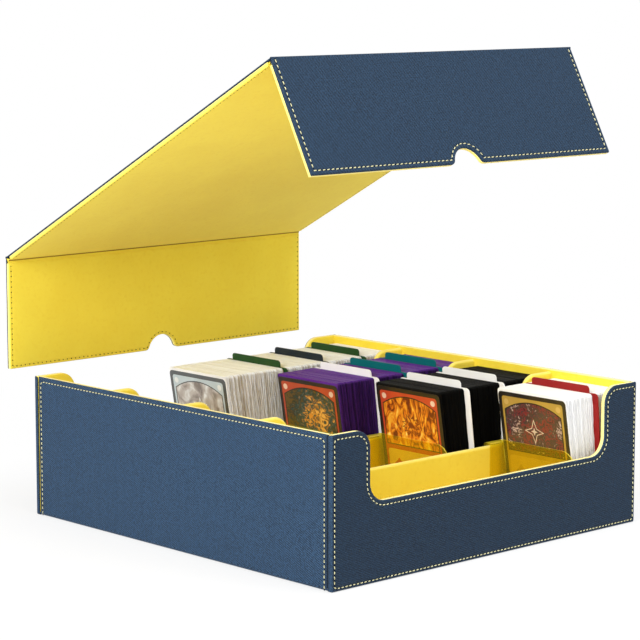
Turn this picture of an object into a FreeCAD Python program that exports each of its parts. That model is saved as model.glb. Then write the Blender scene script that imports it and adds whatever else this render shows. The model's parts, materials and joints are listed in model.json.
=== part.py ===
import FreeCAD
import Part
import math
import os

# Four-row storage box for sleeved trading cards, with a lift-off folding lid.
# Millimetres. +Z is up, the rows run along X, and the rows lie side by side along Y.
# The origin is on the ground, under the middle of the box. The front is at -Y.
# The lid is drawn lifted off and part open.

Vector = FreeCAD.Vector

# Box, outside
box_length = 290.0
box_height = 99.0
wrap_corner_radius = 2.2
panel_corner_radius = 2.0

# Layers of every wall and lid panel, from outside to inside
cover_thickness = 0.9
board_thickness = 2.4
lining_thickness = 0.7
floor_board_thickness = 1.5

# Scooped outline that the front wall, the back wall and the partitions share
scoop_half_width = 112.0
scoop_low_height = 52.0
scoop_inner_radius = 13.0
scoop_shoulder_radius = 12.0

# Partitions
row_count = 4
partition_thickness = 4.0
partition_drop = 1.5
partition_edge_bevel = 0.8
row_side_play = 7.25

# Lid
lid_side_inset = 5.0
lid_clearance = 3.5
lid_seat_gap = 0.3
flap_edge_height = 22.8
fold_inner_gap = 0.5
notch_height = 11.0
notch_radius = 13.0
notch_shoulder_radius = 4.0
lid_open_angle = 27.8
lid_lift = 76.2
lid_shift_back = 31.3

# Magnets that hold the flaps to the walls
magnet_radius = 5.0
magnet_thickness = 1.5
magnet_offset = 95.0
magnet_from_flap_edge = 13.7

# Clearances
running_gap = 0.3
standing_gap = 0.2

# Sleeved cards
card_width = 64.0
card_height = 90.0
card_corner_radius = 3.0
card_pitch = 0.7
front_lean = 0.17

# Tabbed dividers
divider_rise = 0.4
divider_thickness = 0.8
divider_corner_radius = 3.0
tab_width = 52.5
tab_rise = 4.8
tab_corner_radius = 2.5

# Card stoppers, each bent from one sheet
stopper_thickness = 1.0
stopper_height = 55.5
stopper_corner_radius = 12.0
stopper_foot_radius = 3.0
stopper_reach_forward = 10.0
stopper_reach_back = 9.0
stopper_hook_depth = 8.0
stopper_side_gap = 2.0
stopper_saddle_gap = 0.9

# Cards in each deck, from the front of the row to the right wall. Row 1 is at the back.
# A divider stands behind every deck but the last.
deck_counts = {1: [80, 59, 52, 45], 2: [52, 41, 50, 37], 3: [35, 50, 60], 4: [40, 42]}

# Worked-out sizes
wall_thickness = cover_thickness + board_thickness + lining_thickness
floor_top = cover_thickness + floor_board_thickness + lining_thickness
wrap_inner_radius = min(wrap_corner_radius - cover_thickness, 0.9 * floor_board_thickness)
half_length = box_length / 2
inner_x = half_length - wall_thickness
row_clear = card_width + row_side_play
row_pitch = row_clear + partition_thickness
inner_y = (row_count * row_pitch - partition_thickness) / 2
half_width = inner_y + wall_thickness
partition_top = box_height - partition_drop

lid_half = half_length - lid_side_inset
fold_to_outside = cover_thickness / 2
fold_to_inside = wall_thickness - fold_to_outside
slab_start = fold_to_inside + fold_inner_gap
cover_start = fold_to_outside + running_gap
groove_start = fold_to_outside + lining_thickness + running_gap
closed_fold_y = half_width + lid_clearance + fold_to_inside
closed_fold_z = box_height + lid_seat_gap + fold_to_inside
top_span = 2 * closed_fold_y
flap_span = closed_fold_z - flap_edge_height
rest_fold_y = closed_fold_y + lid_shift_back
rest_fold_z = closed_fold_z + lid_lift
magnet_height = flap_edge_height + magnet_from_flap_edge

cards_bottom = floor_top + standing_gap
cards_top = cards_bottom + card_height
divider_width = row_clear - 2 * (stopper_thickness + 2 * running_gap)
card_side_shift = (divider_width - card_width) / 2


def save(name, shape):
    shape.exportStep("parts/" + name + ".step")


def block(low, high):
    size = [b - a for a, b in zip(low, high)]
    return Part.makeBox(size[0], size[1], size[2], Vector(*low))


def polygon_face(points):
    return Part.Face(Part.makePolygon(points + [points[0]]))


def arc_edge(centre, radius, start_degrees, end_degrees, to_space):
    """Arc through a start, a middle and an end angle, in a plane set by to_space."""
    angles = [start_degrees, (start_degrees + end_degrees) / 2, end_degrees]
    points = []
    for angle in angles:
        a = math.radians(angle)
        points.append(to_space(centre[0] + radius * math.cos(a), centre[1] + radius * math.sin(a)))
    return Part.Arc(*points).toShape()


def outline_face(steps, to_space):
    """Closed face from corner points and arcs, joined in order by straight edges."""
    pieces = []
    for step in steps:
        if len(step) == 2:
            pieces.append(to_space(*step))
        else:
            centre, radius, start, end = step
            pieces.append(arc_edge(centre, radius, start, end, to_space))
    edges = []
    for i, piece in enumerate(pieces):
        following = pieces[(i + 1) % len(pieces)]
        leave = piece if isinstance(piece, Vector) else piece.valueAt(piece.LastParameter)
        arrive = following if isinstance(following, Vector) else following.valueAt(following.FirstParameter)
        if not isinstance(piece, Vector):
            edges.append(piece)
        if leave.distanceToPoint(arrive) > 1e-6:
            edges.append(Part.LineSegment(leave, arrive).toShape())
    return Part.Face(Part.Wire(edges))


def scooped_plate(side, low, top, rim_inset, y_start, y_end):
    """Plate across the box with the scoop cut into its top edge.

    side is its half length, low and top its lower and upper edges, and rim_inset
    how far the upper edge and the scoop's edge are set back into the plate.
    """
    gap = scoop_half_width + rim_inset
    dip = scoop_low_height - rim_inset
    inner = scoop_inner_radius + rim_inset
    shoulder = scoop_shoulder_radius - rim_inset
    steps = [
        (-side, low),
        (side, low),
        (side, top),
        ((gap + shoulder, top - shoulder), shoulder, 90, 180),
        ((gap - inner, dip + inner), inner, 0, -90),
        ((-gap + inner, dip + inner), inner, -90, -180),
        ((-gap - shoulder, top - shoulder), shoulder, 0, 90),
        (-side, top),
    ]
    face = outline_face(steps, lambda x, z: Vector(x, y_start, z))
    return face.extrude(Vector(0, y_end - y_start, 0))


def mirrored_in_y(shape):
    return shape.mirror(Vector(0, 0, 0), Vector(0, 1, 0))


def magnet_discs(y_start, z, direction):
    discs = []
    for x in (-magnet_offset, magnet_offset):
        discs.append(Part.makeCylinder(magnet_radius, magnet_thickness, Vector(x, y_start, z), direction))
    return Part.makeCompound(discs)


def wrap_cover():
    """One sheet over the left wall, under the floor and up the right wall."""
    outer = block((-half_length, -inner_y, 0), (half_length, inner_y, box_height))
    low_edges = [e for e in outer.Edges if e.BoundBox.ZMax < 1e-6 and e.BoundBox.XLength < 1e-6]
    outer = outer.makeFillet(wrap_corner_radius, low_edges)
    x = half_length - cover_thickness
    inner = block((-x, -inner_y, cover_thickness), (x, inner_y, box_height))
    inner_edges = [e for e in inner.Edges
                   if abs(e.BoundBox.ZMax - cover_thickness) < 1e-6 and e.BoundBox.XLength < 1e-6]
    inner = inner.makeFillet(wrap_inner_radius, inner_edges)
    return outer.cut(inner)


def floor_board():
    x = half_length - cover_thickness
    board = block((-x, -inner_y, cover_thickness), (x, inner_y, cover_thickness + floor_board_thickness))
    edges = [e for e in board.Edges
             if abs(e.BoundBox.ZMax - cover_thickness) < 1e-6 and e.BoundBox.XLength < 1e-6]
    return board.makeFillet(wrap_inner_radius, edges)


def floor_lining():
    return block((-inner_x, -inner_y, floor_top - lining_thickness), (inner_x, inner_y, floor_top))


def side_board():
    """Board of the right wall, standing on the floor board."""
    low = cover_thickness + floor_board_thickness
    x_out = half_length - cover_thickness
    x_in = inner_x + lining_thickness
    return block((x_in, -inner_y, low), (x_out, inner_y, box_height - lining_thickness))


def side_lining():
    """Lining of the right wall, turned over the top of its board."""
    low = cover_thickness + floor_board_thickness
    x_out = half_length - cover_thickness
    whole = block((inner_x, -inner_y, low), (x_out, inner_y, box_height))
    return whole.cut(side_board())


def mirrored_in_x(shape):
    return shape.mirror(Vector(0, 0, 0), Vector(1, 0, 0))


def front_cover():
    """Sheet over the front panel, turned round its two upright edges and its foot."""
    outer = scooped_plate(half_length, 0, box_height, 0, -half_width, -inner_y)
    corners = [e for e in outer.Edges
               if abs(e.BoundBox.YMax + half_width) < 1e-6
               and abs(abs(e.BoundBox.XMin) - half_length) < 1e-6
               and e.BoundBox.XLength < 1e-6]
    outer = outer.makeFillet(panel_corner_radius, corners)
    x = half_length - cover_thickness
    inner = block((-x, -half_width + cover_thickness, cover_thickness), (x, -inner_y, box_height))
    return outer.cut(inner)


def front_board_blank():
    y_out = -half_width + cover_thickness
    x = half_length - cover_thickness
    return scooped_plate(x, cover_thickness, box_height - lining_thickness, lining_thickness,
                         y_out, y_out + board_thickness)


def front_board():
    y_out = -half_width + cover_thickness
    return front_board_blank().cut(magnet_discs(y_out, magnet_height, Vector(0, 1, 0)))


def front_magnets():
    return magnet_discs(-half_width + cover_thickness, magnet_height, Vector(0, 1, 0))


def front_lining():
    """Lining of the front panel, turned over its board along the rim and the scoop."""
    x = half_length - cover_thickness
    whole = scooped_plate(x, cover_thickness, box_height, 0, -half_width + cover_thickness, -inner_y)
    return whole.cut(front_board_blank())


def partition(number):
    """Lined board between row number and row number + 1, counted from the back."""
    y_far = inner_y - number * row_pitch + partition_thickness
    plate = scooped_plate(inner_x, floor_top, partition_top, 0, y_far - partition_thickness, y_far)
    rim = []
    for edge in plate.Edges:
        box = edge.BoundBox
        upright_end = box.XLength < 1e-6 and abs(abs(box.XMin) - inner_x) < 1e-6
        if box.YLength < 1e-6 and box.ZMax > floor_top + 1 and not upright_end:
            rim.append(edge)
    return plate.makeChamfer(partition_edge_bevel, rim)


def panel_face(start, end, edge_inset, notched, level):
    """Outline of a lid panel, in panel coordinates.

    X runs across the lid, Y from one fold to the next or to the free edge, and Z out
    of the lid. A flap's free edge has the thumb notch.
    """
    half = lid_half - edge_inset
    steps = [(-half, start), (-half, end)]
    if notched:
        reach = notch_radius + notch_shoulder_radius
        shoulder_x = math.sqrt(notch_height * (2 * reach - notch_height))
        free_edge = end + edge_inset
        shoulder_y = free_edge - notch_shoulder_radius
        centre_y = free_edge - notch_height + notch_radius
        turn = math.degrees(math.atan2(shoulder_x, centre_y - shoulder_y))
        shoulder = notch_shoulder_radius - edge_inset
        steps.append(((-shoulder_x, shoulder_y), shoulder, 90, 90 - turn))
        steps.append(((0, centre_y), notch_radius + edge_inset, 270 - turn, 270 + turn))
        steps.append(((shoulder_x, shoulder_y), shoulder, 90 + turn, 90))
    steps += [(half, end), (half, start)]
    return outline_face(steps, lambda x, y: Vector(x, y, level))


def panel_layers(start, end, folded_end):
    """Cover, board and lining of one lid panel, in panel coordinates.

    The sheets run on past the board to each fold, where the lining lies in the groove
    against the cover. folded_end says whether the far end is a fold or a free edge.
    """
    far_cover = end - cover_start if folded_end else end
    far_slab = end - slab_start if folded_end else end
    far_groove = end - groove_start if folded_end else end
    notched = not folded_end
    cover = panel_face(start + cover_start, far_cover, 0, notched, -fold_to_outside)
    cover = cover.extrude(Vector(0, 0, cover_thickness))
    board_low = -fold_to_inside + lining_thickness
    board = panel_face(start + slab_start + lining_thickness, far_slab - lining_thickness,
                       lining_thickness, notched, board_low)
    board = board.extrude(Vector(0, 0, board_thickness))
    slab = panel_face(start + slab_start, far_slab, 0, notched, -fold_to_inside)
    slab = slab.extrude(Vector(0, 0, lining_thickness + board_thickness))
    groove_low = -fold_to_outside - lining_thickness
    sheet = panel_face(start + groove_start, far_groove, 0, notched, groove_low)
    sheet = sheet.extrude(Vector(0, 0, lining_thickness))
    lining = slab.fuse(sheet).cut(board).removeSplitter()
    return cover, board, lining


def place(shape, axis_y, axis_z, tilt):
    """Put a panel drawn flat with its fold at Y=0 onto a fold line, turned about X."""
    placed = shape.copy()
    placed.rotate(Vector(0, 0, 0), Vector(1, 0, 0), tilt)
    placed.translate(Vector(0, axis_y, axis_z))
    return placed


def flap_magnets():
    """Magnets in the inner face of a flap's board, level with those of the wall."""
    along = closed_fold_z - magnet_height
    discs = []
    for x in (-magnet_offset, magnet_offset):
        base = Vector(x, along, -fold_to_inside + lining_thickness)
        discs.append(Part.makeCylinder(magnet_radius, magnet_thickness, base))
    return Part.makeCompound(discs)


def fold_bead():
    """Rounded ridge of the cover where it turns over a fold."""
    return Part.makeCylinder(fold_to_outside, 2 * lid_half, Vector(-lid_half, 0, 0), Vector(1, 0, 0))


def save_lid():
    """Top panel and two flaps, at the lifted and part-open rest position.

    A panel is drawn with +Y away from its fold and +Z out of the lid. Turned by 180
    degrees less the open angle it runs forward and up from the back fold.
    """
    top_tilt = -lid_open_angle
    cover, board, lining = panel_layers(0, top_span, True)
    flip = [mirrored_in_y(s) for s in (cover, board, lining)]
    for name, shape in zip(("lid_top_cover", "lid_top_board", "lid_top_lining"), flip):
        save(name, place(shape, rest_fold_y, rest_fold_z, top_tilt))
    front_y = rest_fold_y - top_span * math.cos(math.radians(lid_open_angle))
    front_z = rest_fold_z + top_span * math.sin(math.radians(lid_open_angle))

    cover, board, lining = panel_layers(0, flap_span, False)
    magnets = flap_magnets()
    pieces = (cover, board.cut(magnets), lining, magnets)
    parts = ("cover", "board", "lining", "magnets")
    for part, shape in zip(parts, pieces):
        save("back_flap_" + part, place(shape, rest_fold_y, rest_fold_z, -90))
        turned = mirrored_in_y(shape)
        save("front_flap_" + part, place(turned, front_y, front_z, 90 - lid_open_angle))
    save("back_fold", place(fold_bead(), rest_fold_y, rest_fold_z, 0))
    save("front_fold", place(fold_bead(), front_y, front_z, 0))


def row_centre(row):
    return inner_y - (row - 1) * row_pitch - row_clear / 2


def bar_along_x(steps):
    """Outline in the YZ plane, drawn out along the whole inside of the box."""
    face = outline_face(steps, lambda y, z: Vector(-inner_x, y, z))
    return face.extrude(Vector(2 * inner_x, 0, 0))


def card_bar(row):
    y = row_centre(row) + card_side_shift
    side = card_width / 2
    r = card_corner_radius
    return bar_along_x([
        ((y - side + r, cards_bottom + r), r, 180, 270),
        ((y + side - r, cards_bottom + r), r, 270, 360),
        ((y + side - r, cards_top - r), r, 0, 90),
        ((y - side + r, cards_top - r), r, 90, 180),
    ])


def divider_bar(row):
    y = row_centre(row)
    side = divider_width / 2
    half_tab = tab_width / 2
    top = cards_top + divider_rise
    tab_top = top + tab_rise
    r = divider_corner_radius
    t = tab_corner_radius
    return bar_along_x([
        ((y - side + r, cards_bottom + r), r, 180, 270),
        ((y + side - r, cards_bottom + r), r, 270, 360),
        ((y + side - r, top - r), r, 0, 90),
        (y + half_tab, top),
        ((y + half_tab - t, tab_top - t), t, 0, 90),
        ((y - half_tab + t, tab_top - t), t, 90, 180),
        (y - half_tab, top),
        ((y - side + r, top - r), r, 90, 180),
    ])


def leaning_block(front_x, front_slope, rear_x, rear_slope, row):
    """Space between two planes that lean back from the given places at the cards' top."""
    high = cards_top + divider_rise + tab_rise
    low = cards_bottom
    y_low = row_centre(row) - row_clear / 2
    points = []
    for x, slope, z in ((front_x, front_slope, high), (rear_x, rear_slope, high),
                        (rear_x, rear_slope, low), (front_x, front_slope, low)):
        points.append(Vector(x + slope * (cards_top - z), y_low, z))
    return polygon_face(points).extrude(Vector(0, row_clear, 0))


def row_front(row):
    """Where the cards of a row start, at their top edges."""
    decks = deck_counts[row]
    between = (len(decks) - 1) * (divider_thickness + running_gap)
    return inner_x - running_gap - sum(decks) * card_pitch - between


def lean_at(x, row):
    """Slope of the cards: most at the front of the row, none at the right wall."""
    return front_lean * (inner_x - x) / (inner_x - row_front(row))


def save_row(row):
    """Decks of cards and the dividers behind them, from the front of the row."""
    start = row_front(row)
    slope = front_lean
    cards = card_bar(row)
    dividers = divider_bar(row)
    last = len(deck_counts[row])
    for number, count in enumerate(deck_counts[row], 1):
        x = start + count * card_pitch
        rear_slope = 0 if number == last else lean_at(x, row)
        deck = cards.common(leaning_block(start, slope, x, rear_slope, row))
        save("deck_%d_%d" % (row, number), deck)
        if number < last:
            rear = x + divider_thickness
            divider = dividers.common(leaning_block(x, rear_slope, rear, rear_slope, row))
            save("divider_%d_%d" % (row, number), divider)
            start = rear + running_gap
            slope = rear_slope


def stopper(row):
    """Bent sheet: a leg across the row, a flange along the far wall and a saddle over it."""
    centre = row_centre(row)
    far_face = centre + row_clear / 2
    leg_rear = row_front(row) + front_lean * (cards_top - stopper_height) - running_gap
    leg_front = leg_rear - stopper_thickness
    x_low = leg_front - stopper_reach_forward
    x_high = leg_rear + stopper_reach_back
    flange_out = far_face - running_gap
    flange_in = flange_out - stopper_thickness
    hook_in = far_face + partition_thickness + running_gap
    hook_out = hook_in + stopper_thickness
    saddle_low = scoop_low_height + stopper_saddle_gap
    saddle_high = saddle_low + stopper_thickness

    channel = block((x_low, flange_in, cards_bottom), (x_high, hook_out, saddle_high))
    ridges = [e for e in channel.Edges
              if abs(e.BoundBox.ZMin - saddle_high) < 1e-6 and e.BoundBox.YLength < 1e-6]
    channel = channel.makeFillet(stopper_thickness, ridges)
    channel = channel.cut(block((x_low, flange_out, cards_bottom), (x_high, hook_in, saddle_low)))
    hook_low = saddle_high - stopper_hook_depth
    channel = channel.cut(block((x_low, flange_out, cards_bottom), (x_high, hook_out, hook_low)))

    near = centre - row_clear / 2 + stopper_side_gap
    top_r = stopper_corner_radius
    foot_r = stopper_foot_radius
    steps = [
        ((near + foot_r, cards_bottom + foot_r), foot_r, 180, 270),
        (flange_out, cards_bottom),
        (flange_out, stopper_height),
        ((near + top_r, stopper_height - top_r), top_r, 90, 180),
    ]
    leg = outline_face(steps, lambda y, z: Vector(leg_front, y, z))
    leg = leg.extrude(Vector(stopper_thickness, 0, 0))
    return channel.fuse(leg).removeSplitter()


def save_box():
    save("wrap_cover", wrap_cover())
    save("floor_board", floor_board())
    save("floor_lining", floor_lining())
    save("right_board", side_board())
    save("right_lining", side_lining())
    save("left_board", mirrored_in_x(side_board()))
    save("left_lining", mirrored_in_x(side_lining()))
    panel = {"cover": front_cover(), "board": front_board(),
             "lining": front_lining(), "magnets": front_magnets()}
    for part, shape in panel.items():
        save("front_" + part, shape)
        save("back_" + part, mirrored_in_y(shape))
    for number in range(1, row_count):
        save("partition_%d" % number, partition(number))


os.makedirs("parts", exist_ok=True)
save_box()
save_lid()
for row in range(1, row_count + 1):
    save_row(row)
    save("stopper_%d" % row, stopper(row))
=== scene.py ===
"""Looks of the four-row trading card box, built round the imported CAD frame. Metres."""
import json
import math
import random
from collections import namedtuple
from functools import partial

import bpy
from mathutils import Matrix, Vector


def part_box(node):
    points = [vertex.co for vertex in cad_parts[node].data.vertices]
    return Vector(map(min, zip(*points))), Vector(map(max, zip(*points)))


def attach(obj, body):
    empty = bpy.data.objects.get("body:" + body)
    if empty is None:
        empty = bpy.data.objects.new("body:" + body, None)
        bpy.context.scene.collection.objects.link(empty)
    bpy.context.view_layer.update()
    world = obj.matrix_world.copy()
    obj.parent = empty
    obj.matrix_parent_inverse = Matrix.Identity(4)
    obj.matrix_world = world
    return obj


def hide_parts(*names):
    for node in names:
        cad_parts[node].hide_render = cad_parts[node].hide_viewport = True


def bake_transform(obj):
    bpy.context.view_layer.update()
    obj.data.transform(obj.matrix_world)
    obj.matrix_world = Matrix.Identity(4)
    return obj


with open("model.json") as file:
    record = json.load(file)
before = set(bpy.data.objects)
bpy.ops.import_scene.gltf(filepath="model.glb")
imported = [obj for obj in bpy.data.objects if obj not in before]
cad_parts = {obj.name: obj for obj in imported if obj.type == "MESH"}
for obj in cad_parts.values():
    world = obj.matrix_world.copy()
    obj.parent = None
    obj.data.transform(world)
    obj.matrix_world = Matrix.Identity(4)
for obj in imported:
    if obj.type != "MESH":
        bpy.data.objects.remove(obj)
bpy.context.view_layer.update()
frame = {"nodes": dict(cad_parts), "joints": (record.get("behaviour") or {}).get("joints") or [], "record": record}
MM = 0.001
NODES = frame["nodes"]
JOINTS = {joint["name"]: joint for joint in frame["joints"]}

# Sizes of the box, read from the frame
FRONT_LOW, FRONT_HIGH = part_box("front_cover")
HALF_LENGTH = FRONT_HIGH.x
HALF_WIDTH = -FRONT_LOW.y
RIM = FRONT_HIGH.z
INNER_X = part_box("right_lining")[0].x
INNER_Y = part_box("floor_lining")[1].y
FLOOR_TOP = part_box("floor_lining")[1].z
WALL = HALF_LENGTH - INNER_X
LID_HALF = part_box("lid_top_cover")[1].x

# Sizes that the frame's boxes don't give, the same as in the CAD source
COVER = 0.9 * MM
WRAP_RADIUS = 2.2 * MM
SCOOP_HALF = 112 * MM
SCOOP_LOW = 52 * MM
SCOOP_INNER_RADIUS = 13 * MM
SCOOP_SHOULDER_RADIUS = 12 * MM
RUNNING_GAP = 0.3 * MM
FOLD_INNER_GAP = 0.5 * MM
FOLD_TO_OUTSIDE = COVER / 2
FOLD_TO_INSIDE = WALL - FOLD_TO_OUTSIDE
COVER_START = FOLD_TO_OUTSIDE + RUNNING_GAP
SLAB_START = FOLD_TO_INSIDE + FOLD_INNER_GAP
NOTCH_HEIGHT = 11 * MM
NOTCH_RADIUS = 13 * MM
NOTCH_SHOULDER = 4 * MM
MAGNET_OFFSET = 95 * MM
MAGNET_FROM_EDGE = 13.7 * MM
CARD_PITCH = 0.7 * MM

# Edges: radii of the cover's rounding at the box's rim, at the plain edges of its panels and walls
# and round the lid, radii of the lining's, how far the lid's cover is turned over the board, and
# how much painted highlight makes the lining paler at a rim
RIM_RADIUS = 0.75 * MM
PANEL_EDGE_RADIUS = 1.1 * MM
WALL_EDGE_RADIUS = 1.9 * MM
LID_RADIUS = 0.9 * MM
LINING_RADIUS = 0.7 * MM
LINING_EDGE_RADIUS = 0.1 * MM
LID_TURN = 1.6 * MM
RIM_HIGHLIGHT = 0.6

# Roundings: angles of a quarter turn in radians, the degrees between the rows of a finer one and
# its angles, how many of a skin's last rows are turned back, where the last but one of them lies on
# the way to the far end, its share of the far end's tint, and the painted shade of the lid's turned
# cover
QUARTER_TURN = (0, 0.39, 0.79, 1.18, 1.57)
ROUNDING_STEP = 18
FINE_TURN = [math.radians(ROUNDING_STEP * i) for i in range(6)]
TURNED_ROWS = 5
NEAR_ROW = 0.72
NEAR_TINT = 0.15
TURNED_SHADE = 0.6

# Corners of outlines: radius at the edge with its growth with the inset, and the least radii
BOX_CORNER = (0.8 * MM, 0.6)
LID_CORNER = (0.6 * MM, 0.25)
SHARPEST_CORNER = 0.2 * MM
SHARPEST_SHOULDER = 0.7 * MM

# Seams: their distance from the edge, the groove that the thread presses in, and where they end
WALL_SEAM = 3.3 * MM
PANEL_RIM_SEAM = 3.0 * MM
PANEL_EDGE_SEAM = 2.1 * MM
LID_SEAM = 2.9 * MM
INNER_LID_SEAM = 1.9 * MM
SEAM_DEPTH = 0.25 * MM
INNER_SEAM_DEPTH = 0.1 * MM
SEAM_HALF_WIDTH = 0.9 * MM
SEAM_FOOT = 0.6 * MM
SEAM_END = 2 * MM
LID_SEAM_START = 2.5 * MM

# Stitches: pitch, share of it that shows as thread, slant, radii of threads and needle holes, how
# far a hole's dark disc lies over the skin and how much longer than wide it is, a thread's taper
# and its height against its width, and its lift and the dive of its ends against its radius
BOX_STITCH = 3.3 * MM
LID_STITCH = 3.75 * MM
STITCH_SHARE = 0.67
STITCH_SLANT = math.radians(8)
THREAD_RADIUS = 0.35 * MM
HOLE_RADIUS = 0.52 * MM
BOBBIN_RADIUS = 0.12 * MM
INNER_HOLE_RADIUS = 0.48 * MM
SKIN_GAP = 0.05 * MM
HOLE_STRETCH = 1.15
THREAD_TAPER = 0.55
THREAD_HEIGHT = 0.85
THREAD_LIFT = 0.58
THREAD_DIVE = 1.2

random.seed(11)


# ---------- materials

class Shader:
    """The node tree of a material, or of a world, with short calls for the nodes used here."""

    def __init__(self, name, kind="Material"):
        shelf = bpy.data.worlds if kind == "World" else bpy.data.materials
        self.owner = shelf.new(name)
        self.owner.use_nodes = True
        self.tree = self.owner.node_tree
        self.tree.nodes.clear()
        self.output = self.node("Output" + kind)

    def node(self, kind, inputs=(), **settings):
        made = self.tree.nodes.new("ShaderNode" + kind)
        for key, value in settings.items():
            setattr(made, key, value)
        for key, value in dict(inputs).items():
            self.put(value, made.inputs[key])
        return made

    def put(self, value, socket):
        if isinstance(value, bpy.types.NodeSocket):
            self.tree.links.new(value, socket)
        else:
            socket.default_value = value

    def math(self, operation, first, second=0.0):
        return self.node("Math", {0: first, 1: second}, operation=operation).outputs[0]

    def mix(self, share, first, second):
        node = self.node("Mix", data_type="RGBA")
        self.put(share, node.inputs[0])
        self.put(first, node.inputs[6])
        self.put(second, node.inputs[7])
        return node.outputs[2]

    def noise(self, scale, detail=2.0, vector=None, roughness=0.5, distortion=0.0):
        inputs = {"Scale": scale, "Detail": detail, "Roughness": roughness, "Distortion": distortion}
        inputs["Vector"] = vector or self.place()
        return self.node("TexNoise", inputs).outputs["Fac"]

    def place(self):
        return self.node("TexCoord").outputs["Object"]

    def stretched(self, x, y, z, vector=None):
        inputs = {"Vector": vector or self.place(), "Scale": (x, y, z)}
        return self.node("Mapping", inputs).outputs[0]

    def span(self, value, low, high, new_low=0.0, new_high=1.0):
        inputs = {"Value": value, "From Min": low, "From Max": high, "To Min": new_low, "To Max": new_high}
        return self.node("MapRange", inputs).outputs[0]

    def ramp(self, value, stops):
        node = self.node("ValToRGB", {0: value})
        band = node.color_ramp.elements
        while len(band) < len(stops):
            band.new(0.5)
        for element, (at, colour) in zip(band, stops):
            element.position = at
            element.color = (*colour, 1)
        return node.outputs[0]

    def bump(self, height, distance):
        return self.node("Bump", {"Height": height, "Distance": distance, "Strength": 1.0}).outputs[0]

    def tint(self):
        """The number from 0 to 1 that a mesh carries at each point."""
        return self.node("Attribute", attribute_name="tint").outputs["Fac"]

    def panel(self):
        """Panel coordinates in metres: along the panel and up it."""
        return self.node("UVMap", uv_map="panel").outputs[0]

    def show(self, shader):
        """Ends the tree in a shader and gives back the material or world."""
        self.put(shader, self.output.inputs[0])
        return self.owner

    def surface(self, **inputs):
        named = {key.replace("_", " "): value for key, value in inputs.items()}
        return self.show(self.node("BsdfPrincipled", named).outputs[0])


def colour(red, green, blue):
    return (red, green, blue, 1)


def cover_material(name, twill, tone, weave):
    """Navy synthetic leather, embossed with two fine twills whose ridges swell in columns.

    twill holds the two twills' spacings along the panel and their spacing up it, tone is the
    lightness of the navy and weave the share of the pattern in it. A point's tint mixes in painted
    shade, toward a near-black navy, on the rounded edges and deep in the joints between panels.
    """
    s = Shader(name)
    parts = s.node("SeparateXYZ", {0: s.panel()})
    climb = s.math("DIVIDE", parts.outputs[1], twill[2])
    waves = []
    for spacing in twill[:2]:
        turns = s.math("ADD", s.math("DIVIDE", parts.outputs[0], spacing), climb)
        waves.append(s.math("SINE", s.math("MULTIPLY", turns, 2 * math.pi)))
    ridge = s.span(s.math("ADD", waves[0], s.math("MULTIPLY", waves[1], 0.5)), -1, 1)
    grain = s.noise(1100, 2, roughness=0.6)
    height = s.math("ADD", s.math("MULTIPLY", ridge, 0.7), s.math("MULTIPLY", grain, 0.9))
    dark, middle, light = [colour(*(tone * share * c for c in NAVY)) for share in (0.2, 1.0, 1.8)]
    base = s.mix(weave, middle, s.mix(ridge, dark, light))
    base = s.mix(s.span(grain, 0.35, 0.5, 0.5, 0), base, dark)
    base = s.mix(s.span(grain, 0.5, 0.65, 0, 0.5), base, light)
    base = s.mix(s.span(s.noise(22, 3), 0.35, 0.7, 0, 0.2), base, middle)
    # Painted shade: the cover darkens toward near-black navy where its tint is high.
    base = s.mix(s.tint(), base, NAVY_SHADE)
    rough = s.span(grain, 0.3, 0.7, 0.45, 0.62)
    return s.surface(Base_Color=base, Roughness=rough, Specular_IOR_Level=0.14,
                     Normal=s.bump(height, 0.22 * MM))


def lining_material(name, light, deep, stroked):
    """Brushed microfibre: light with clouds and flecks of deep, and a fine nap of stroked.

    Where a point's tint is high it is painted paler, a painted highlight on rims and turned edges.
    """
    s = Shader(name)
    nap = s.noise(1900, 3, roughness=0.7)
    clouds = s.noise(28, 4, roughness=0.6)
    flecks = s.noise(330, 2)
    base = s.mix(s.span(clouds, 0.3, 0.7, 0, 0.45), light, deep)
    base = s.mix(s.span(flecks, 0.52, 0.75, 0, 0.4), base, deep)
    base = s.mix(s.span(nap, 0.35, 0.65, 0.0, 0.16), base, stroked)
    # Painted highlight: paler yellow where the tint is high.
    base = s.mix(s.tint(), base, YELLOW_HIGHLIGHT)
    height = s.math("ADD", nap, s.math("MULTIPLY", flecks, 0.25))
    return s.surface(Base_Color=base, Roughness=0.92, Sheen_Weight=0.2, Sheen_Roughness=0.45,
                     Specular_IOR_Level=0.2, Normal=s.bump(height, 0.04 * MM))


def thread_material(name, light, deep):
    """Twisted thread: slanting plies along each stitch."""
    s = Shader(name)
    parts = s.node("SeparateXYZ", {0: s.panel()})
    turns = s.math("ADD", s.math("MULTIPLY", parts.outputs[0], 3.0), parts.outputs[1])
    ply = s.math("ABSOLUTE", s.math("SINE", s.math("MULTIPLY", turns, math.pi)))
    base = s.mix(ply, deep, light)
    base = s.mix(s.span(s.noise(90, 2), 0.4, 0.7, 0, 0.4), base, deep)
    return s.surface(Base_Color=base, Roughness=0.5, Sheen_Weight=0.2, Normal=s.bump(ply, 0.12 * MM))


def shaded(tone, share):
    """A colour, made darker."""
    return colour(*(share * c for c in tone[:3]))


# A flat dark disc painted as the shade inside a needle hole, mottled darker.
def hole_material(name, tone):
    s = Shader(name)
    shade = s.mix(s.noise(900, 1), tone, shaded(tone, 0.4))
    return s.surface(Base_Color=shade, Roughness=0.9, Specular_IOR_Level=0.1)


def board_material():
    s = Shader("grey_board")
    fibres = s.noise(700, 4, s.stretched(1, 1, 4))
    base = s.mix(fibres, colour(0.26, 0.22, 0.17), colour(0.42, 0.36, 0.28))
    return s.surface(Base_Color=base, Roughness=0.9, Normal=s.bump(fibres, 0.1 * MM))


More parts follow.
